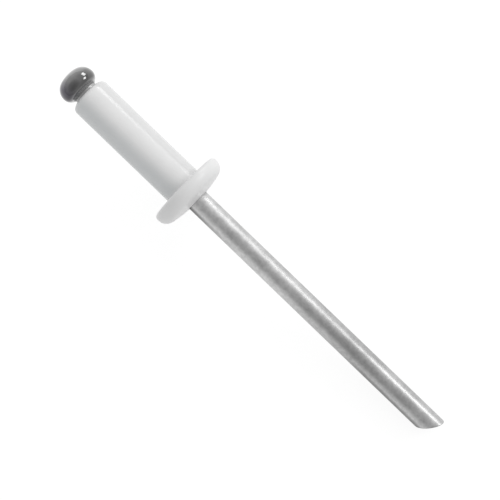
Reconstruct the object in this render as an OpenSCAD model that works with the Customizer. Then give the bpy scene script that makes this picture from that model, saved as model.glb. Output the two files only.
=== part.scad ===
// Blind rivet, 4 mm by 12 mm, with a domed flange: an aluminium body that is painted white and is
// threaded on a steel mandrel. The mandrel's head sits on the blind end and its stem leaves through the flange.
// Sizes are millimetres. The rivet lies on a flat surface at Z = 0, on the rim of its flange and on
// the cut tail of its mandrel. X runs along it towards the tail, and the origin is under its middle.

/* [Rivet body] */
// Outside diameter of the sleeve, which is the rivet's nominal size
sleeve_d = 4; // [3.6:0.1:4.8]
// Length of the sleeve from the flange's seat to the blind end
sleeve_len = 12.6; // [8:0.2:20]
// Rounding of the sleeve's outer edge at the blind end
end_round = 0.6; // [0.2:0.05:0.7]
// Fillet where the sleeve meets the flange's seat
seat_fillet = 0.12; // [0.05:0.01:0.2]

/* [Flange] */
// Diameter of the flange
flange_d = 7.9; // [7:0.1:9]
// Height of the flange from its seat to the top of its crown
flange_h = 1.9; // [1.8:0.05:2.2]
// Rounding of the rim's lower edge, next to the seat
rim_round = 0.4; // [0.1:0.05:0.4]
// Height of the rim's widest place, where the rounding of the crown begins
rim_h = 0.5; // [0.42:0.02:0.56]
// Rounding between the rim and the crown
crown_edge_r = 1.1; // [0.6:0.05:1.2]
// Rounding of the hole's mouth in the crown
mouth_round = 0.08; // [0.04:0.01:0.15]

/* [Mandrel] */
// Diameter of the mandrel's stem
mandrel_d = 2.25; // [1.8:0.05:2.4]
// Length of the stem that stands out of the flange, up to its longest point
stem_len = 31.1; // [26:0.1:40]
// Angle of the sheared tail, from square
cut_angle = 37; // [0:1:50]
// Place of the tail's longest point round the stem, from straight up
cut_turn = -60; // [-180:5:180]

/* [Mandrel head] */
// Step from the sleeve's outside in to the head's widest place, so that both pass one hole
head_inset = 0.08; // [0.03:0.01:0.15]
// Height of the head from the blind end to its front
head_h = 2.6; // [2.5:0.05:3]
// Height of the head's widest place above the blind end
head_wide_at = 1.2; // [1.2:0.05:1.4]
// Rounding from the head's widest place forward into its blunt dome
head_front_r = 1.3; // [0.8:0.05:1.3]
// Rounding from the head's widest place back into its cone
head_back_r = 0.9; // [0.6:0.05:0.9]
// Length of the narrow collar that the head's back runs into, up to the blind end
collar_len = 0.25; // [0.15:0.05:0.25]
// Width of the ring on which the collar seats round the mouth of the bore
collar_seat = 0.05; // [0.03:0.01:0.1]

/* [Break neck] */
// Depth of the four notches that are crimped into the mandrel, where it breaks
neck_depth = 0.35; // [0.2:0.05:0.45]
// Width of the notches at the stem's surface
neck_w = 0.9; // [0.4:0.1:1.2]
// Distance of the notches inside the blind end
neck_at = 2; // [1:0.1:4]

/* [Fits] */
// Clearance between the stem and the sleeve's bore, on the radius
bore_gap = 0.05; // [0.03:0.01:0.08]
// Depth of the V groove in which the coined mouth of the flange holds the stem
grip_depth = 0.1; // [0.06:0.01:0.14]
// Length of that groove, which ends at the top of the crown
grip_len = 0.65; // [0.6:0.05:0.9]
// Clearance between the coined mouth and the groove, on the radius
grip_gap = 0.02; // [0.01:0.01:0.03]

/* [Hidden] */
$fn = 96;
arc_steps = 12;
least_land = 0.1;
least_dome = 0.08;
tail_spare = 5;

sleeve_r = sleeve_d / 2;
flange_r = flange_d / 2;
mandrel_r = mandrel_d / 2;
bore_r = mandrel_r + bore_gap;
groove_r = mandrel_r - grip_depth;
lip_r = groove_r + grip_gap;
mouth_r = mandrel_r + grip_gap;
head_r = sleeve_r - head_inset;
collar_r = bore_r + collar_seat;
// the flat of the blind end, on which the mandrel's collar seats
land_r = max(sleeve_r - end_round, bore_r + least_land);
blind_round = sleeve_r - land_r;
blind_z = -sleeve_len;
groove_z = flange_h - grip_len;
groove_mid_z = flange_h - grip_len / 2;
tip_z = flange_h + stem_len;

// the crown of the flange: a shallow dome that runs tangent into the rim's rounding
rim_centre_r = flange_r - crown_edge_r;
crown_r = dome_radius(flange_h - rim_h, crown_edge_r, rim_centre_r);
crown_z = flange_h - crown_r;
crown_edge_angle = atan2(rim_h - crown_z, rim_centre_r);
mouth_edge_r = mouth_r + mouth_round;
mouth_z = crown_z + sqrt(crown_r * crown_r - mouth_edge_r * mouth_edge_r);
mouth_angle = atan2(mouth_z - crown_z, mouth_edge_r);

// the mandrel's head: a blunt dome, a rounding on each side of its widest place and a cone that
// narrows to the collar
head_wide_z = blind_z - head_wide_at;
front_r = min(head_front_r, head_h - head_wide_at - least_dome);
front_centre_r = head_r - front_r;
head_dome_r = dome_radius(head_h - head_wide_at, front_r, front_centre_r);
head_dome_z = blind_z - head_h + head_dome_r;
head_edge_angle = atan2(head_wide_z - head_dome_z, front_centre_r);
back_centre_r = head_r - head_back_r;
collar_z = blind_z - collar_len;
cone_reach = [collar_r - back_centre_r, collar_z - head_wide_z];
cone_angle = atan2(cone_reach.y, cone_reach.x) - acos(head_back_r / norm(cone_reach));

// how the rivet lies: its rim and the lowest corner of its tail both touch the surface
slope = tan(cut_angle);
level_tilt = tilt_on(mandrel_r, tail_z(180));
low_turn = atan2(-sin(level_tilt) * slope * sin(cut_turn), cos(level_tilt) - sin(level_tilt) * slope * cos(cut_turn));
tilt = tilt_on(mandrel_r * cos(low_turn), tail_z(180 + low_turn));
lift = crown_edge_r + rim_centre_r * cos(tilt) + rim_h * sin(tilt);
front_x = head_dome_z * cos(tilt) - head_dome_r;
tail_reach = norm([cos(tilt) * slope * cos(cut_turn) + sin(tilt), cos(tilt) * slope * sin(cut_turn)]);
tail_x = (tip_z - mandrel_r * slope) * cos(tilt) + mandrel_r * tail_reach;
shift_x = -(front_x + tail_x) / 2;

// radius of a dome of height h that is tangent to an edge rounding of radius e centred c off the axis
function dome_radius(h, e, c) = (h * h - e * e + c * c) / (2 * (h - e));

// height of the tail's edge at this turn round the stem
function tail_z(turn) = tip_z - mandrel_r * slope * (1 - cos(turn - cut_turn));

// tilt at which the rim's rounding and a corner x off the axis at height z are level
function tilt_on(x, z) = atan2(rim_centre_r - x, z - rim_h) + asin(crown_edge_r / norm([rim_centre_r - x, z - rim_h]));

// points of an arc about [x, z], with the first one left out where the outline is already there
function arc(x, z, r, from, to, first = 0) = [
    for (i = [first:arc_steps]) let (a = from + (to - from) * i / arc_steps) [x + r * cos(a), z + r * sin(a)]
];

// lays a shape that was built upright along Z, with its tail up, down on the surface, with its +X side up
module lying() {
    translate([shift_x, 0, lift])
        rotate([0, 90 + tilt, 0])
            rotate([0, 0, 180])
                children();
}

module rivet_body() {
    outline = concat(
        [[bore_r, blind_z]],
        arc(land_r, blind_z + blind_round, blind_round, -90, 0),
        arc(sleeve_r + seat_fillet, -seat_fillet, seat_fillet, 180, 90),
        arc(flange_r - rim_round, rim_round, rim_round, -90, 0),
        arc(rim_centre_r, rim_h, crown_edge_r, 0, crown_edge_angle),
        arc(0, crown_z, crown_r, crown_edge_angle, mouth_angle, 1),
        arc(mouth_edge_r, mouth_z - mouth_round, mouth_round, 90, 180, 1),
        [[lip_r, groove_mid_z]],
        [[bore_r, groove_z]]
    );
    color([0.9, 0.9, 0.9])
        lying()
            rotate_extrude()
                polygon(outline);
}

module mandrel() {
    outline = concat(
        arc(0, head_dome_z, head_dome_r, -90, head_edge_angle),
        arc(front_centre_r, head_wide_z, front_r, head_edge_angle, 0, 1),
        arc(back_centre_r, head_wide_z, head_back_r, 0, cone_angle, 1),
        [[collar_r, collar_z]],
        [[collar_r, blind_z]],
        [[mandrel_r, blind_z]],
        [[mandrel_r, groove_z]],
        [[groove_r, groove_mid_z]],
        [[mandrel_r, flange_h]],
        [[mandrel_r, tip_z + tail_spare]],
        [[0, tip_z + tail_spare]]
    );
    color([0.6, 0.6, 0.62])
        lying()
            difference() {
                rotate_extrude()
                    polygon(outline);
                neck_notches();
                tail_waste();
            }
}

// four V notches, crimped square round the stem, that leave the square neck in which it breaks
module neck_notches() {
    for (turn = [0:90:270])
        rotate([90, 0, turn])
            translate([mandrel_r - neck_depth, blind_z + neck_at, 0])
                linear_extrude(height = mandrel_d, center = true)
                    polygon([[0, 0], [2 * neck_depth, -neck_w], [2 * neck_depth, neck_w]]);
}

// the stock beyond the sheared tail
module tail_waste() {
    width = 4 * (mandrel_d + tail_spare);
    rotate([0, 0, cut_turn])
        translate([mandrel_r, 0, tip_z])
            rotate([0, -cut_angle, 0])
                translate([-width / 2, -width / 2, 0])
                    cube([width, width, width]);
}

rivet_body();
mandrel();
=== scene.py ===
# A white painted blind rivet on its steel mandrel, lying on a white table.
# The two pieces are turned upright round Z, with the tail up, and then laid down where the CAD has them.
# All lengths are metres.
import math

import bpy
from mathutils import Matrix, Vector


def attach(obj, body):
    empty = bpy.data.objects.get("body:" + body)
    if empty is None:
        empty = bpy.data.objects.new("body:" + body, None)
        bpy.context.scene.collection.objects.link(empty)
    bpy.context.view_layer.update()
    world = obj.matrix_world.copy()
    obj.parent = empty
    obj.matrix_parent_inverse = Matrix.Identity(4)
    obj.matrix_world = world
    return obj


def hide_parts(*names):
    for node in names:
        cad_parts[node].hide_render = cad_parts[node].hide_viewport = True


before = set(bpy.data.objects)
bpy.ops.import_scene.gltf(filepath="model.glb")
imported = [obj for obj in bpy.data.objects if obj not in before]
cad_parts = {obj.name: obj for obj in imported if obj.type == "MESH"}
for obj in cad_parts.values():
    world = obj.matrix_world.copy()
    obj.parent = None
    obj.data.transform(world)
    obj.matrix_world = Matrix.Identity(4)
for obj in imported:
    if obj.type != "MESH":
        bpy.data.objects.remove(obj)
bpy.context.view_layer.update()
mm = 0.001
weld = 0.001 * mm  # points that are nearer than this are one
smoothDegrees = 32  # a fold that is sharper than this keeps its edge
noiseRange = (0.35, 0.65)  # most of a noise lies between these
white = (1, 1, 1, 1)

# how the rivet lies: the middle of the flange's seat, and how far its axis falls towards the tail
lying = {"seatX": -8.88459 * mm, "seatZ": 3.98348 * mm, "fallDegrees": 5.17355}


def allOff():
    if bpy.context.object and bpy.context.object.mode == "EDIT":
        bpy.ops.object.mode_set(mode="OBJECT")
    bpy.ops.object.select_all(action="DESELECT")


def takeUp(piece):
    allOff()
    piece.select_set(True)
    bpy.context.view_layer.objects.active = piece


def arc(centreR, centreZ, radius, start, end, steps):
    # points of a rounding, from the angle start to the angle end, in degrees
    turns = [math.radians(start + (end - start) * i / steps) for i in range(steps + 1)]
    return [(centreR + radius * math.cos(a), centreZ + radius * math.sin(a)) for a in turns]


def domeRadius(height, edge, centreR):
    # radius of a dome that runs tangent into an edge rounding
    return (height * height - edge * edge + centreR * centreR) / (2 * (height - edge))


def turnedPiece(name, outline, steps):
    # one vertex is drawn along half the outline and spun round Z
    allOff()
    bpy.ops.mesh.primitive_plane_add(size=mm)
    piece = bpy.context.object
    piece.name = name
    bpy.ops.object.mode_set(mode="EDIT")
    bpy.ops.mesh.merge(type="CENTER")
    bpy.ops.transform.translate(value=(outline[0][0], 0, outline[0][1]))
    for (r0, z0), (r1, z1) in zip(outline, outline[1:]):
        bpy.ops.mesh.extrude_region_move(TRANSFORM_OT_translate={"value": (r1 - r0, 0, z1 - z0)})
    bpy.ops.mesh.select_all(action="SELECT")
    bpy.ops.mesh.spin(steps=steps, angle=math.tau, center=(0, 0, 0), axis=(0, 0, 1))
    bpy.ops.mesh.select_all(action="SELECT")
    bpy.ops.mesh.remove_doubles(threshold=weld)
    bpy.ops.mesh.normals_make_consistent(inside=False)
    bpy.ops.object.mode_set(mode="OBJECT")
    return piece


def layDown(piece):
    # the upright piece falls towards +X with its +X side up
    takeUp(piece)
    fall = Matrix.Rotation(math.radians(90 + lying["fallDegrees"]), 4, "Y")
    place = Matrix.Translation((lying["seatX"], 0, lying["seatZ"]))
    piece.matrix_world = place @ fall @ Matrix.Rotation(math.pi, 4, "Z")
    bpy.ops.object.transform_apply(location=True, rotation=True, scale=True)
    bpy.ops.object.shade_smooth_by_angle(angle=math.radians(smoothDegrees))


# materials

def newMaterial(name):
    material = bpy.data.materials.new(name)
    material.use_nodes = True
    nodes = material.node_tree.nodes
    return material, nodes, material.node_tree.links, nodes["Principled BSDF"]


def uprightCoordinates(nodes, links):
    # object coordinates, moved and turned back to the rivet's own upright frame: Z is 0 at the flange's
    # seat and grows towards the tail, and Y is the table's
    where = nodes.new("ShaderNodeTexCoord")
    moved = nodes.new("ShaderNodeMapping")
    moved.inputs["Location"].default_value = (-lying["seatX"], 0, -lying["seatZ"])
    turned = nodes.new("ShaderNodeMapping")
    turned.inputs["Rotation"].default_value = (0, -math.radians(90 + lying["fallDegrees"]), 0)
    links.new(where.outputs["Object"], moved.inputs["Vector"])
    links.new(moved.outputs["Vector"], turned.inputs["Vector"])
    return turned.outputs["Vector"]


def drawnOut(nodes, links, vector, share):
    # coordinates in which a pattern is drawn out along the rivet
    node = nodes.new("ShaderNodeMapping")
    node.inputs["Scale"].default_value = (1, 1, share)
    links.new(vector, node.inputs["Vector"])
    return node.outputs["Vector"]


def split(nodes, links, vector):
    node = nodes.new("ShaderNodeSeparateXYZ")
    links.new(vector, node.inputs[0])
    return node.outputs


def noise(nodes, links, vector, scale, detail, roughness=0.5):
    node = nodes.new("ShaderNodeTexNoise")
    node.inputs["Scale"].default_value = scale
    node.inputs["Detail"].default_value = detail
    node.inputs["Roughness"].default_value = roughness
    links.new(vector, node.inputs["Vector"])
    return node.outputs["Fac"]


def mapped(nodes, links, value, fromLow, fromHigh, toLow=0, toHigh=1):
    node = nodes.new("ShaderNodeMapRange")
    node.inputs["From Min"].default_value = fromLow
    node.inputs["From Max"].default_value = fromHigh
    node.inputs["To Min"].default_value = toLow
    node.inputs["To Max"].default_value = toHigh
    links.new(value, node.inputs["Value"])
    return node.outputs["Result"]


def stepped(nodes, links, value, fromLow, fromHigh, stops):
    # a grey that changes along a value: each stop is a place between the two ends and its grey
    place = mapped(nodes, links, value, fromLow, fromHigh)
    ramp = nodes.new("ShaderNodeValToRGB")
    ramp.color_ramp.interpolation = "EASE"
    elements = ramp.color_ramp.elements
    elements[0].position, elements[1].position = stops[0][0], stops[-1][0]
    for at, _ in stops[1:-1]:
        elements.new(at)
    for element, (_, grey) in zip(elements, stops):
        element.color = (grey, grey, grey, 1)
    links.new(place, ramp.inputs["Fac"])
    return ramp.outputs["Color"]


def reckoned(nodes, links, operation, first, second):
    # the sum, the product or the larger one of two values
    node = nodes.new("ShaderNodeMath")
    node.operation = operation
    links.new(first, node.inputs[0])
    links.new(second, node.inputs[1])
    return node.outputs["Value"]


def mixed(nodes, links, factor, low, high):
    # a colour between low and high, each a colour or a socket
    node = nodes.new("ShaderNodeMix")
    node.data_type = "RGBA"
    links.new(factor, node.inputs["Factor"])
    for key, value in (("A", low), ("B", high)):
        socket = [s for s in node.inputs if s.name == key and s.type == "RGBA"][0]
        if isinstance(value, tuple):
            socket.default_value = value
        else:
            links.new(value, socket)
    return [s for s in node.outputs if s.type == "RGBA"][0]


def tinted(nodes, links, first, second):
    # the product of two colours
    node = nodes.new("ShaderNodeMix")
    node.data_type = "RGBA"
    node.blend_type = "MULTIPLY"
    node.inputs["Factor"].default_value = 1
    colours = [s for s in node.inputs if s.type == "RGBA"]
    links.new(first, colours[0])
    links.new(second, colours[1])
    return [s for s in node.outputs if s.type == "RGBA"][0]


def bumped(nodes, links, height, strength, distance, shader):
    node = nodes.new("ShaderNodeBump")
    node.inputs["Strength"].default_value = strength
    node.inputs["Distance"].default_value = distance
    links.new(height, node.inputs["Height"])
    links.new(node.outputs["Normal"], shader.inputs["Normal"])


def whitePaint():
    # satin stoving paint: nearly even, with a fine orange peel and the faintest clouds. Painted shade greys
    # the sleeve a little low and high on its sides, and the flange is less glossy and a trace greyer
    look = {
        "pale": (0.845, 0.845, 0.845, 1),
        "shade": (0.825, 0.827, 0.828, 1),
        "clouds": 700,
        "sleeve": (0, -0.4 * mm),  # along the rivet, where the flange's look turns into the sleeve's
        # low and high: across the rivet, where painted shade greys the sleeve, on the side away from the
        # lamps and on its edge nearest them
        "low": (-0.1 * mm, -1.1 * mm),  # across the rivet
        "high": (1.05 * mm, 1.3 * mm),
        "lowPaintedShadeTint": (0.83, 0.85, 0.857, 1),
        "highPaintedShadeTint": (0.9, 0.9, 0.9, 1),
        "flangeTint": (0.965, 0.965, 0.965, 1),
        "flangeRoughness": 0.34,
        "sleeveRoughness": 0.18,
        "specular": 0.5,
        "peel": 2600,
        "peelStrength": 0.25,
        "peelDepth": 0.004 * mm,
    }
    material, nodes, links, shader = newMaterial("whitePaint")
    vector = uprightCoordinates(nodes, links)
    place = split(nodes, links, vector)
    clouds = mapped(nodes, links, noise(nodes, links, vector, look["clouds"], 2.0), *noiseRange)
    colour = mixed(nodes, links, clouds, look["shade"], look["pale"])
    sleeve = mapped(nodes, links, place["Z"], *look["sleeve"])
    # painted shade: masks for the sleeve's low and high sides
    low = reckoned(nodes, links, "MULTIPLY", mapped(nodes, links, place["Y"], *look["low"]), sleeve)
    high = reckoned(nodes, links, "MULTIPLY", mapped(nodes, links, place["Y"], *look["high"]), sleeve)
    grey = mixed(nodes, links, low, white, look["lowPaintedShadeTint"])
    flange = mixed(nodes, links, sleeve, look["flangeTint"], white)
    flangeGreyAndPaintedShade = mixed(nodes, links, high, flange, look["highPaintedShadeTint"])
    links.new(tinted(nodes, links, tinted(nodes, links, colour, grey), flangeGreyAndPaintedShade), shader.inputs["Base Color"])
    gloss = mapped(nodes, links, sleeve, 0, 1, look["flangeRoughness"], look["sleeveRoughness"])
    links.new(gloss, shader.inputs["Roughness"])
    shader.inputs["Specular IOR Level"].default_value = look["specular"]
    peel = noise(nodes, links, vector, look["peel"], 1.0)
    bumped(nodes, links, peel, look["peelStrength"], look["peelDepth"], shader)
    return material


def drawnSteel():
    # zinc plated wire: drawing marks run along it, and the plating is uneven and dullest past its middle. A
    # painted reflection lightens a band on its lower side, and painted shadow darkens its lower edge near the
    # flange and near the tail
    look = {
        "patch": (0.7, 0.7, 0.7, 1),
        "clouds": 420,
        "cloudShare": 0.45,
        "spots": 2600,
        "spotShare": 0.55,
        "stem": (0, 33 * mm),  # along the rivet, for the plating, the painted shadow and the roughness
        "plating": ((0.06, 0.85), (0.15, 0.755), (0.36, 0.73), (0.66, 0.575), (0.92, 0.68)),
        "paintedShadow": ((0.07, 0.95), (0.13, 0.6), (0.21, 0.1), (0.3, 0.0), (0.62, 0.0), (0.78, 0.75), (0.9, 0.8)),
        "paintedShadowSide": (-0.78 * mm, -1.0 * mm),  # across the rivet
        "paintedShadowTint": (0.3, 0.3, 0.3, 1),
        "paintedReflection": ((0.0, 0.86), (0.45, 1.0), (0.9, 0.88)),
        "paintedReflectionSide": (-0.3 * mm, -1.1 * mm),
        "roughness": ((0.1, 0.43), (0.36, 0.44), (0.56, 0.42), (0.8, 0.4), (0.95, 0.41)),
        "marks": 5200,
        "marksDrawn": 0.06,
        "markStrength": 0.25,
        "markDepth": 0.003 * mm,
    }
    material, nodes, links, shader = newMaterial("drawnSteel")
    vector = uprightCoordinates(nodes, links)
    place = split(nodes, links, vector)
    clouds = noise(nodes, links, vector, look["clouds"], 2.0)
    spots = noise(nodes, links, vector, look["spots"], 3.0, 0.6)
    cloudy = mapped(nodes, links, clouds, *noiseRange, 0, look["cloudShare"])
    spotty = mapped(nodes, links, spots, *noiseRange, 0, look["spotShare"])
    mottle = mixed(nodes, links, reckoned(nodes, links, "ADD", cloudy, spotty), look["patch"], white)
    plating = stepped(nodes, links, place["Z"], *look["stem"], look["plating"])
    # painted reflection: a lighter band along the stem's lower side, and the rest a little darker
    paintedReflection = stepped(nodes, links, place["Y"], *look["paintedReflectionSide"], look["paintedReflection"])
    toneAndPaintedReflection = tinted(nodes, links, tinted(nodes, links, plating, mottle), paintedReflection)
    # painted shadow: the stem's lower edge darkened near the flange and near the tail
    side = mapped(nodes, links, place["Y"], *look["paintedShadowSide"])
    paintedShadow = stepped(nodes, links, place["Z"], *look["stem"], look["paintedShadow"])
    paintedShadowGrey = mixed(nodes, links, reckoned(nodes, links, "MULTIPLY", side, paintedShadow), white, look["paintedShadowTint"])
    links.new(tinted(nodes, links, toneAndPaintedReflection, paintedShadowGrey), shader.inputs["Base Color"])
    shader.inputs["Metallic"].default_value = 1
    roughness = stepped(nodes, links, place["Z"], *look["stem"], look["roughness"])
    links.new(roughness, shader.inputs["Roughness"])
    marks = noise(nodes, links, drawnOut(nodes, links, vector, look["marksDrawn"]), look["marks"], 3.0)
    bumped(nodes, links, marks, look["markStrength"], look["markDepth"], shader)
    return material


def darkSteel():
    # the upset head: burnished dark, with painted reflection lighter towards its front and its collar, and
    # painted shade, dark and bluish, on the side that lies away from the lamps, up to the collar
    look = {
        "head": (-15.2 * mm, -12.6 * mm),  # along the rivet, for the burnish with its painted reflection, and the roughness
        "burnishAndPaintedReflection": (
            (0.0, 0.34), (0.22, 0.275), (0.45, 0.185), (0.72, 0.095), (0.79, 0.19), (0.85, 0.42), (0.97, 0.42)
        ),
        "roughness": ((0.0, 0.12), (0.8, 0.12), (0.93, 0.6)),
        "headPaintedShadeSide": (-0.3 * mm, -1.3 * mm),  # across the rivet
        "headUnshadedTint": (1.04, 1.04, 1.04, 1),
        "headPaintedShadeTint": (0.36, 0.34, 0.42, 1),
        "collar": (-13.4 * mm, -12.95 * mm),
        "spots": 900,
        "spotDark": (0.82, 0.82, 0.82, 1),
        "spotPale": (1.15, 1.15, 1.15, 1),
        "spotStrength": 0.15,
        "spotDepth": 0.006 * mm,
        "coat": 0.6,
        "coatRoughness": 0.06,
        "coatIor": 1.65,
    }
    material, nodes, links, shader = newMaterial("darkSteel")
    vector = uprightCoordinates(nodes, links)
    place = split(nodes, links, vector)
    # burnish: real dark steel in the middle, with painted reflection lightening the front and the collar
    grey = stepped(nodes, links, place["Z"], *look["head"], look["burnishAndPaintedReflection"])
    # painted shade on the head's side away from the lamps, fading out at the collar
    side = mapped(nodes, links, place["Y"], *look["headPaintedShadeSide"])
    headPaintedShade = mixed(nodes, links, side, look["headUnshadedTint"], look["headPaintedShadeTint"])
    headPaintedShade = mixed(nodes, links, mapped(nodes, links, place["Z"], *look["collar"]), headPaintedShade, white)
    spots = noise(nodes, links, vector, look["spots"], 3.0)
    mottle = mixed(nodes, links, mapped(nodes, links, spots, *noiseRange), look["spotDark"], look["spotPale"])
    links.new(tinted(nodes, links, tinted(nodes, links, grey, headPaintedShade), mottle), shader.inputs["Base Color"])
    shader.inputs["Metallic"].default_value = 1
    roughness = stepped(nodes, links, place["Z"], *look["head"], look["roughness"])
    links.new(roughness, shader.inputs["Roughness"])
    shader.inputs["Coat Weight"].default_value = look["coat"]
    shader.inputs["Coat Roughness"].default_value = look["coatRoughness"]
    shader.inputs["Coat IOR"].default_value = look["coatIor"]
    bumped(nodes, links, spots, look["spotStrength"], look["spotDepth"], shader)
    return material


def tornSteel():
    # the sheared face of the tail
    look = {
        "grain": 4200,
        "torn": (0.13, 0.13, 0.13, 1),
        "smooth": (0.34, 0.34, 0.34, 1),
        "roughness": 0.42,
        "grainStrength": 0.5,
        "grainDepth": 0.02 * mm,
    }
    material, nodes, links, shader = newMaterial("tornSteel")
    grain = noise(nodes, links, uprightCoordinates(nodes, links), look["grain"], 5.0, 0.65)
    links.new(mixed(nodes, links, grain, look["torn"], look["smooth"]), shader.inputs["Base Color"])
    shader.inputs["Metallic"].default_value = 1
    shader.inputs["Roughness"].default_value = look["roughness"]
    bumped(nodes, links, grain, look["grainStrength"], look["grainDepth"], shader)
    return material


# the rivet body

def makeRivetBody():
    size = {
        "sleeveR": 2.0 * mm,
        "sleeveLength": 12.6 * mm,
        "sleeveRings": (-10 * mm, -8 * mm, -6 * mm, -4 * mm, -2 * mm),  # edges that keep its faces short
        "blindRound": 0.6 * mm,
        "boreR": 1.175 * mm,
        "seatFillet": 0.12 * mm,
        "flangeR": 3.95 * mm,
        "flangeHeight": 1.9 * mm,
        "rimRound": 0.4 * mm,
        "rimHeight": 0.5 * mm,
        "crownEdge": 1.1 * mm,
        "mouthR": 1.145 * mm,
        "mouthRound": 0.08 * mm,
        "lipR": 1.045 * mm,
        "grooveLength": 0.65 * mm,
        "turnSteps": 144,
    }
    sleeveR, boreR, seatFillet = size["sleeveR"], size["boreR"], size["seatFillet"]
    blindRound, rimRound, mouthRound = size["blindRound"], size["rimRound"], size["mouthRound"]
    blindZ, flangeZ = -size["sleeveLength"], size["flangeHeight"]
    edgeR = size["flangeR"] - size["crownEdge"]
    crownR = domeRadius(flangeZ - size["rimHeight"], size["crownEdge"], edgeR)
    crownZ = flangeZ - crownR
    edgeAngle = math.degrees(math.atan2(size["rimHeight"] - crownZ, edgeR))
    mouthEdgeR = size["mouthR"] + mouthRound
    mouthZ = crownZ + math.sqrt(crownR**2 - mouthEdgeR**2)
    mouthAngle = math.degrees(math.atan2(mouthZ - crownZ, mouthEdgeR))
    outline = [(boreR, blindZ)]
    outline += arc(sleeveR - blindRound, blindZ + blindRound, blindRound, -90, 0, 16)
    outline += [(sleeveR, z) for z in size["sleeveRings"]]
    outline += arc(sleeveR + seatFillet, -seatFillet, seatFillet, 180, 90, 6)
    outline += arc(size["flangeR"] - rimRound, rimRound, rimRound, -90, 0, 12)
    outline += arc(edgeR, size["rimHeight"], size["crownEdge"], 0, edgeAngle, 20)
    outline += arc(0, crownZ, crownR, edgeAngle, mouthAngle, 10)[1:]
    outline += arc(mouthEdgeR, mouthZ - mouthRound, mouthRound, 90, 180, 6)[1:]
    outline += [(size["lipR"], flangeZ - size["grooveLength"] / 2)]
    outline += [(boreR, flangeZ - size["grooveLength"]), (boreR, blindZ)]
    body = turnedPiece("rivetBody", outline, size["turnSteps"])
    body.data.materials.append(whitePaint())
    layDown(body)
    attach(body, "root")
    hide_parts("rivet_body")
    print("rivet body turned", len(body.data.polygons))


# the mandrel

def cutNormal(size):
    turn, cut = math.radians(size["cutTurn"]), math.radians(size["cutDegrees"])
    return Vector((-math.sin(cut) * math.cos(turn), -math.sin(cut) * math.sin(turn), math.cos(cut)))


def longestPoint(size):
    turn = math.radians(size["cutTurn"])
    return Vector((size["stemR"] * math.cos(turn), size["stemR"] * math.sin(turn), size["tipZ"]))


def crimpNeck(mandrel, size):
    # hidden in the sleeve: four V notches, crimped square round the stem, where it breaks. Each is cut by
    # a prism with three sides, which is 1.5 high and root 3 wide before it is scaled
    high, wide = 2 * size["neckDepth"] / 1.5, 2 * size["neckWidth"] / math.sqrt(3)
    pointIn = Matrix(((0, -1, 0, 0), (0, 0, -1, 0), (1, 0, 0, 0), (0, 0, 0, 1)))
    seat = Matrix.Translation((size["stemR"] - size["neckDepth"] + high, 0, size["neckZ"]))
    for quarter in range(4):
        allOff()
        bpy.ops.mesh.primitive_cylinder_add(vertices=3, radius=1, depth=2 * size["stemR"])
        notch = bpy.context.object
        notch.scale = (wide, high, 1)
        bpy.ops.object.transform_apply(location=False, rotation=False, scale=True)
        notch.matrix_world = Matrix.Rotation(math.radians(90 * quarter), 4, "Z") @ seat @ pointIn
        takeUp(mandrel)
        cut = mandrel.modifiers.new("notch", "BOOLEAN")
        cut.operation = "DIFFERENCE"
        cut.solver = "EXACT"
        cut.object = notch
        bpy.ops.object.modifier_apply(modifier="notch")
        bpy.data.objects.remove(notch)


def shearTail(mandrel, size):
    # the tail is cut through at a slant, and the edge of the cut is rolled over a little
    takeUp(mandrel)
    bpy.ops.object.mode_set(mode="EDIT")
    bpy.ops.mesh.select_all(action="SELECT")
    bpy.ops.mesh.bisect(
        plane_co=longestPoint(size), plane_no=cutNormal(size), use_fill=True, clear_outer=True, threshold=weld
    )
    bpy.ops.mesh.bevel(offset=size["cutRound"], segments=3, affect="EDGES")
    bpy.ops.object.mode_set(mode="OBJECT")


def giveFinishes(mandrel, size):
    # drawn wire all over, but for the dark head with its collar and the torn face of the tail
    for material in (drawnSteel(), darkSteel(), tornSteel()):
        mandrel.data.materials.append(material)
    cutWay, longest = cutNormal(size), longestPoint(size)
    for face in mandrel.data.polygons:
        if face.center.z < size["blindZ"] - size["collarLength"] / 4:
            face.material_index = 1
        elif (face.center - longest).dot(cutWay) > -2 * size["cutRound"]:
            face.material_index = 2


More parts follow.
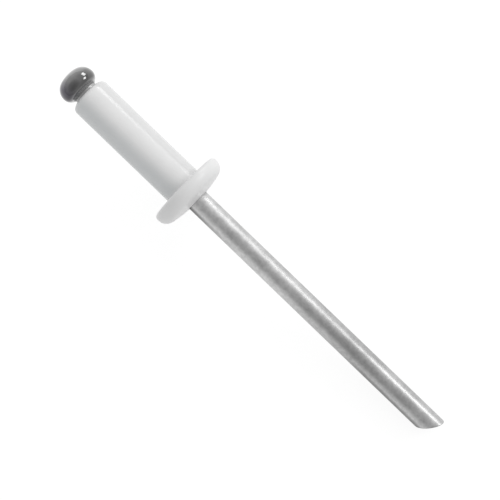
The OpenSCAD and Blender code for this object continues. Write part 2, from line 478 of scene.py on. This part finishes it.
def makeMandrel():
    size = {
        "stemR": 1.125 * mm,
        "tipZ": 33.0 * mm,
        "stemRings": [z * mm for z in range(4, 30, 2)],  # edges that keep its faces short
        "spareLength": 1 * mm,  # cut off with the tail
        "cutDegrees": 37,
        "cutTurn": -60,
        "cutRound": 0.06 * mm,
        "headR": 1.92 * mm,
        "headHeight": 2.6 * mm,
        "headWideAt": 1.2 * mm,
        "frontRound": 1.3 * mm,
        "backRound": 0.9 * mm,
        "collarR": 1.225 * mm,
        "collarLength": 0.25 * mm,
        "blindZ": -12.6 * mm,
        "grooveR": 1.025 * mm,
        "grooveZ": 1.25 * mm,
        "flangeHeight": 1.9 * mm,
        "neckZ": -10.6 * mm,
        "neckDepth": 0.35 * mm,
        "neckWidth": 0.9 * mm,
        "turnSteps": 96,
    }
    stemR, blindZ, flangeZ = size["stemR"], size["blindZ"], size["flangeHeight"]
    spareZ = size["tipZ"] + size["spareLength"]
    frontR, backR = size["headR"] - size["frontRound"], size["headR"] - size["backRound"]
    wideZ = blindZ - size["headWideAt"]
    domeR = domeRadius(size["headHeight"] - size["headWideAt"], size["frontRound"], frontR)
    domeZ = blindZ - size["headHeight"] + domeR
    edgeAngle = math.degrees(math.atan2(wideZ - domeZ, frontR))
    reach, rise = size["collarR"] - backR, size["headWideAt"] - size["collarLength"]
    coneAngle = math.degrees(math.atan2(rise, reach) - math.acos(size["backRound"] / math.hypot(reach, rise)))
    outline = arc(0, domeZ, domeR, -90, edgeAngle, 10)
    outline += arc(frontR, wideZ, size["frontRound"], edgeAngle, 0, 20)[1:]
    outline += arc(backR, wideZ, size["backRound"], 0, coneAngle, 14)[1:]
    outline += [(size["collarR"], blindZ - size["collarLength"]), (size["collarR"], blindZ), (stemR, blindZ)]
    outline += [(stemR, size["neckZ"] - size["neckWidth"]), (stemR, size["neckZ"] + size["neckWidth"])]
    outline += [(stemR, size["grooveZ"]), (size["grooveR"], (size["grooveZ"] + flangeZ) / 2)]
    outline += [(stemR, flangeZ)]
    outline += [(stemR, z) for z in size["stemRings"]]
    outline += [(stemR, spareZ), (0, spareZ)]
    mandrel = turnedPiece("mandrelPiece", outline, size["turnSteps"])
    crimpNeck(mandrel, size)
    shearTail(mandrel, size)
    giveFinishes(mandrel, size)
    layDown(mandrel)
    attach(mandrel, "root")
    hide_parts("mandrel")
    print("mandrel turned", len(mandrel.data.polygons))


# the table, the light and the camera

def plainSurface(nodes, grey):
    node = nodes.new("ShaderNodeBsdfDiffuse")
    node.inputs["Color"].default_value = (grey, grey, grey, 1)
    return node.outputs["BSDF"]


def makeTable():
    # where it is seen, straight or in the metal, the table is white with the rivet's soft shadow on it.
    # The light that it sends up to the rivet is that of a plain pale table
    top = {"width": 6, "parts": 8, "below": 0.01 * mm, "pale": 0.76, "shadowed": 0.27, "glow": 0.83}
    parts = top["parts"]
    allOff()
    bpy.ops.mesh.primitive_grid_add(x_subdivisions=parts, y_subdivisions=parts, size=top["width"])
    table = bpy.context.object
    table.name = "table"
    table.location.z = -top["below"]
    bpy.ops.object.transform_apply(location=True)
    material = bpy.data.materials.new("whiteTable")
    material.use_nodes = True
    nodes, links = material.node_tree.nodes, material.node_tree.links
    nodes.clear()
    path = nodes.new("ShaderNodeLightPath")
    seen = reckoned(nodes, links, "MAXIMUM", path.outputs["Is Camera Ray"], path.outputs["Is Glossy Ray"])
    seen = reckoned(nodes, links, "MAXIMUM", seen, path.outputs["Is Transmission Ray"])
    glow = nodes.new("ShaderNodeEmission")
    glow.inputs["Strength"].default_value = top["glow"]
    shown = nodes.new("ShaderNodeAddShader")
    links.new(plainSurface(nodes, top["shadowed"]), shown.inputs[0])
    links.new(glow.outputs["Emission"], shown.inputs[1])
    choose = nodes.new("ShaderNodeMixShader")
    links.new(seen, choose.inputs["Fac"])
    links.new(plainSurface(nodes, top["pale"]), choose.inputs[1])
    links.new(shown.outputs[0], choose.inputs[2])
    out = nodes.new("ShaderNodeOutputMaterial")
    links.new(choose.outputs[0], out.inputs["Surface"])
    table.data.materials.append(material)
    print("table laid")


def makeRoom():
    # the room round the table: pale all round and darker overhead, mostly on the side away from the lamps
    room = {"leanDegrees": 22, "greys": ((0.66, 0.79), (0.83, 0.56), (1.0, 0.4))}
    world = bpy.data.worlds.new("room")
    bpy.context.scene.world = world
    world.use_nodes = True
    nodes, links = world.node_tree.nodes, world.node_tree.links
    lean = math.radians(room["leanDegrees"])
    way = nodes.new("ShaderNodeTexCoord")
    overhead = nodes.new("ShaderNodeVectorMath")
    overhead.operation = "DOT_PRODUCT"
    overhead.inputs[1].default_value = (0, -math.sin(lean), math.cos(lean))
    ramp = nodes.new("ShaderNodeValToRGB")
    elements = ramp.color_ramp.elements
    elements[0].position, elements[1].position = room["greys"][0][0], room["greys"][-1][0]
    for at, _ in room["greys"][1:-1]:
        elements.new(at)
    for element, (_, grey) in zip(elements, room["greys"]):
        element.color = (grey, grey, grey, 1)
    links.new(way.outputs["Generated"], overhead.inputs[0])
    links.new(overhead.outputs["Value"], ramp.inputs["Fac"])
    links.new(ramp.outputs["Color"], nodes["Background"].inputs["Color"])
    print("room made")


def makeLamps():
    # two lamps from the upper right of the picture, the larger one nearer to the rivet's head. Each faces
    # the rivet, side degrees from straight up towards +Y and along degrees towards +X
    lamps = {
        "keyLamp": {"side": 71, "along": -18, "far": 0.6, "width": 0.25, "length": 0.18, "watts": 0.6},
        "sideLamp": {"side": 60.5, "along": 17, "far": 0.6, "width": 0.17, "length": 0.17, "watts": 0.58},
    }
    for name, light in lamps.items():
        side, along = math.radians(light["side"]), math.radians(light["along"])
        away = Vector((math.sin(along), math.cos(along) * math.sin(side), math.cos(along) * math.cos(side)))
        bpy.ops.object.light_add(type="AREA", location=away * light["far"])
        lamp = bpy.context.object
        lamp.name = name
        lamp.rotation_euler = away.to_track_quat("Z", "Y").to_euler()
        lamp.data.shape = "RECTANGLE"
        lamp.data.size = light["width"]
        lamp.data.size_y = light["length"]
        lamp.data.energy = light["watts"]
    print("lamps lit", len(lamps))


def makeCamera():
    # it looks square at the rivet's axis from above
    shot = {
        "turnDegrees": 43.9,  # of the rivet in the picture, below the horizontal
        "distance": 150 * mm,
        "lens": 114.6,
        "sensor": 36,
        "middle": 8.635 * mm,  # from the flange's seat towards the tail
        "aside": 0.046 * mm,
        "nearest": 1 * mm,
        "farthest": 20,
    }
    fall, turn = math.radians(lying["fallDegrees"]), math.radians(shot["turnDegrees"])
    tail = Vector((math.cos(fall), 0, -math.sin(fall)))
    back = Vector((math.sin(fall), 0, math.cos(fall)))
    side = Vector((0, 1, 0))
    right = math.cos(turn) * tail + math.sin(turn) * side
    up = -math.sin(turn) * tail + math.cos(turn) * side
    aim = Vector((lying["seatX"], 0, lying["seatZ"])) + tail * shot["middle"] + side * shot["aside"]
    bpy.ops.object.camera_add()
    camera = bpy.context.object
    turned = Matrix((right, up, back)).transposed().to_4x4()
    camera.matrix_world = Matrix.Translation(aim + back * shot["distance"]) @ turned
    camera.data.lens = shot["lens"]
    camera.data.sensor_width = shot["sensor"]
    camera.data.clip_start = shot["nearest"]
    camera.data.clip_end = shot["farthest"]
    bpy.context.scene.camera = camera
    print("camera set")


makeRivetBody()
makeMandrel()
makeTable()
makeRoom()
makeLamps()
makeCamera()
bpy.context.scene.view_settings.view_transform = "Standard"
